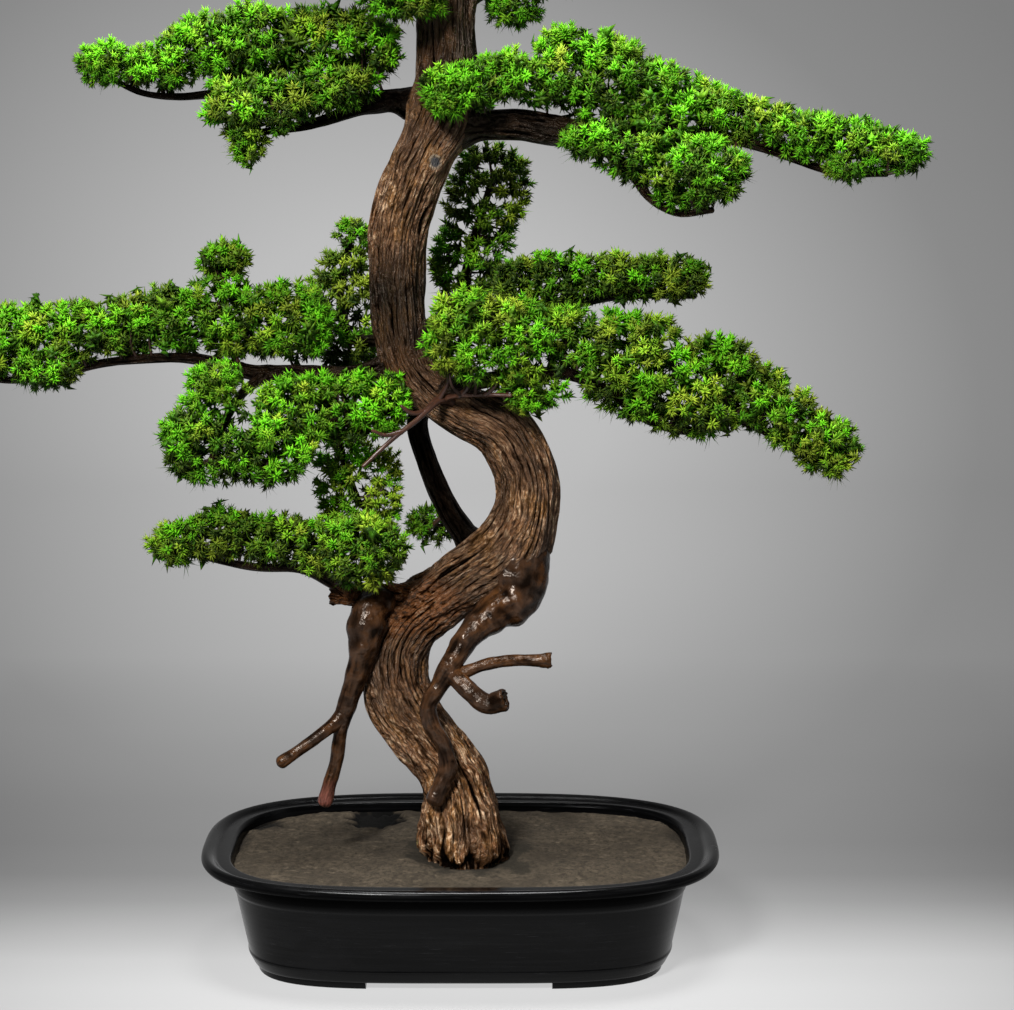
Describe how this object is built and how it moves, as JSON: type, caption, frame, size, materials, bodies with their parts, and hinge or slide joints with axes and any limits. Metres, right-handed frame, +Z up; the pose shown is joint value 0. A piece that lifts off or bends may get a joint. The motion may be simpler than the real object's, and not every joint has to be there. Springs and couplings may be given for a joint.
{
  "type": "myrtle bonsai",
  "caption": "Bonsai tree with a winding bark trunk, bent limbs, aerial roots and pointed green sprays, planted in a low black oval tray pot.",
  "frame": {"origin": "on the surface the pot stands on, under the middle of the whole plant", "axes": "+Z up, +Y away from the viewer across the pot's short side, +X to the viewer's right along the pot's long side"},
  "size_m": [0.7626, 0.296, 0.9746],
  "materials": {
    "pot": "satin",
    "soil": "matte",
    "wood": "satin",
    "leaf": "satin"
  },
  "bodies": {
    "root": {"pot": "pot", "soil": "soil", "trunk": "wood", "spray_top_left": "leaf", "spray_top_right": "leaf", "spray_crown_left": "leaf", "spray_crown_right": "leaf", "spray_crown_back": "leaf", "spray_crown_front": "leaf", "spray_apex": "leaf", "spray_back_upper": "leaf", "spray_back_left": "leaf", "spray_middle_left": "leaf", "spray_low_left": "leaf", "spray_hanging": "leaf", "spray_bottom_left": "leaf", "spray_bottom_back": "leaf", "spray_middle_right": "leaf", "spray_middle_right_upper": "leaf"}
  },
  "joints": []
}
